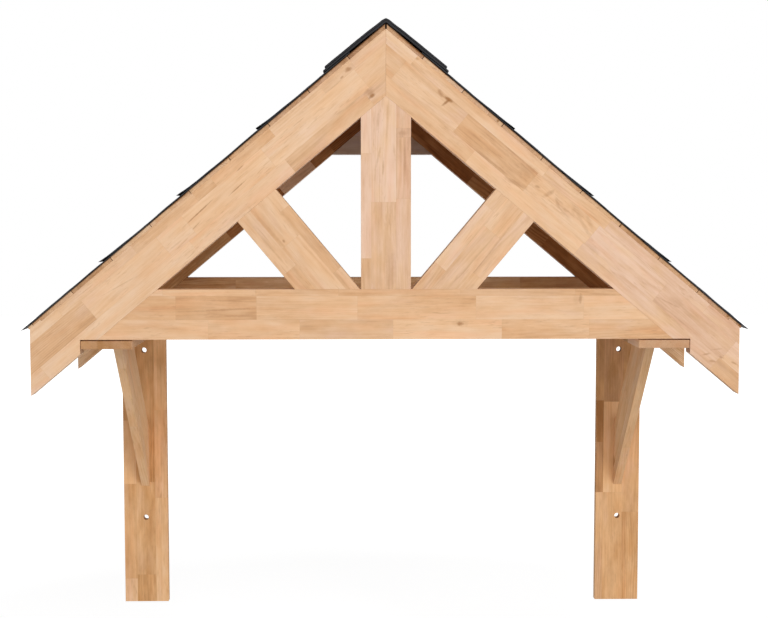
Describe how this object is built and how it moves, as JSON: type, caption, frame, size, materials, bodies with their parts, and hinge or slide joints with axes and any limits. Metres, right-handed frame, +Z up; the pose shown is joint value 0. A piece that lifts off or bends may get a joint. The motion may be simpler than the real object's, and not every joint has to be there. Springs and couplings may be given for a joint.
{
  "type": "porch canopy",
  "caption": "Gabled timber porch canopy: laminated oak trusses with king post and struts, on gallows wall brackets, under a slated roof with ridge caps.",
  "frame": {"origin": "middle of the rear tie beam's back face, which lies flat on the wall", "axes": "+X to the right along the wall as seen from in front, +Y into the wall, +Z up; the gable faces -Y"},
  "size_m": [1.536, 0.555, 1.3783],
  "materials": {
    "truss_oak": "light laminated oak, clear matt oil",
    "rear_oak": "laminated oak, clear matt oil",
    "bracket_oak": "laminated oak, clear matt oil, a little darker",
    "deck_oak": "laminated oak board, end grain at the verges",
    "slate": "charcoal slate, riven and matt",
    "ridge_cap": "charcoal moulded cap, satin"
  },
  "bodies": {
    "root": {"front_rafter_left": "truss_oak", "front_rafter_right": "truss_oak", "front_tie_beam": "truss_oak", "king_post": "truss_oak", "front_strut_left": "truss_oak", "front_strut_right": "truss_oak", "rear_rafter_left": "rear_oak", "rear_rafter_right": "rear_oak", "rear_tie_beam": "rear_oak", "rear_apex_gusset": "rear_oak", "bracket_arm_left": "bracket_oak", "bracket_arm_right": "bracket_oak", "wall_post_left": "bracket_oak", "wall_post_right": "bracket_oak", "brace_left": "bracket_oak", "brace_right": "bracket_oak", "roof_deck_left": "deck_oak", "roof_deck_right": "deck_oak", "slate_course_1_left": "slate", "slate_course_1_right": "slate", "slate_course_2_left": "slate", "slate_course_2_right": "slate", "slate_course_3_left": "slate", "slate_course_3_right": "slate", "slate_course_4_left": "slate", "slate_course_4_right": "slate", "ridge_cap_front": "ridge_cap", "ridge_cap_middle": "ridge_cap", "ridge_cap_rear": "ridge_cap", "ridge_doubler_front": "ridge_cap", "ridge_doubler_rear": "ridge_cap"}
  },
  "joints": []
}
